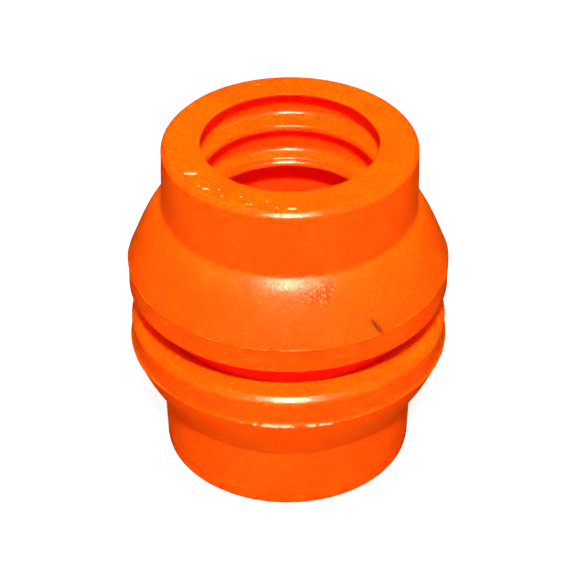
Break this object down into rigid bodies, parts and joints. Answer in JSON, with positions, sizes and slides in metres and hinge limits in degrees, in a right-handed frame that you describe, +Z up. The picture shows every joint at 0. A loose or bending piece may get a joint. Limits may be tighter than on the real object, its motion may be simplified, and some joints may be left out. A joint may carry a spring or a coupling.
{
  "type": "swivel sleeve pipe coupling",
  "caption": "Barrel-shaped push-on sleeve coupling for round pipe: ribbed sealing mouth at each end, swelling to a grooved waist where the two end sleeves swivel on a centre ring.",
  "frame": {"origin": "centre of the flat bottom face that the coupling stands on", "axes": "+Z up along the axis of the bore, from the lower mouth to the upper mouth"},
  "size_m": [0.0764, 0.0764, 0.0845],
  "materials": {
    "sleeve_elastomer": "glossy moulded polyurethane",
    "centre_ring_plastic": "satin",
    "bearing_plastic": "satin",
    "seal_rubber": "matt"
  },
  "bodies": {
    "lower_end": {"lower_sleeve": "sleeve_elastomer", "lower_thrust_ring": "bearing_plastic"},
    "centre": {"centre_ring": "centre_ring_plastic", "pipe_stop_ring": "bearing_plastic", "upper_seal_ring": "seal_rubber", "lower_seal_ring": "seal_rubber"},
    "upper_end": {"upper_sleeve": "sleeve_elastomer", "upper_thrust_ring": "bearing_plastic"}
  },
  "joints": [
    {"name": "lower_swivel", "type": "hinge", "parent": "lower_end", "child": "centre", "pos_m": [0, 0, 0.035], "axis": [0, 0, 1], "continuous": true},
    {"name": "upper_swivel", "type": "hinge", "parent": "centre", "child": "upper_end", "pos_m": [0, 0, 0.051], "axis": [0, 0, 1], "continuous": true}
  ]
}
